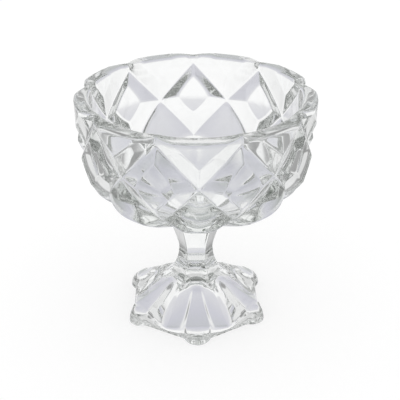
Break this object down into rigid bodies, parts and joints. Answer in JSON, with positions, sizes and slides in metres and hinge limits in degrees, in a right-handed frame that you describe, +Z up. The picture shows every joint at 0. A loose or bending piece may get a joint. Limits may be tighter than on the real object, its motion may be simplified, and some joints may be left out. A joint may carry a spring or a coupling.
{
  "type": "candy dish",
  "caption": "Footed candy dish of clear pressed glass, with a diamond-cut bowl and scalloped rim on a waisted faceted stem and a hollow foot with rounded toes.",
  "frame": {"origin": "middle of the plane that the foot stands on, on the axis of the dish", "axes": "+Z up along the axis of the dish, -Y towards the front, where a toe of the foot points, +X to the right"},
  "size_m": [0.1306, 0.1299, 0.135],
  "materials": {
    "clear_glass": "clear colourless pressed glass, fire-polished"
  },
  "bodies": {
    "root": {"bowl": "clear_glass", "stem": "clear_glass", "foot": "clear_glass"}
  },
  "joints": []
}
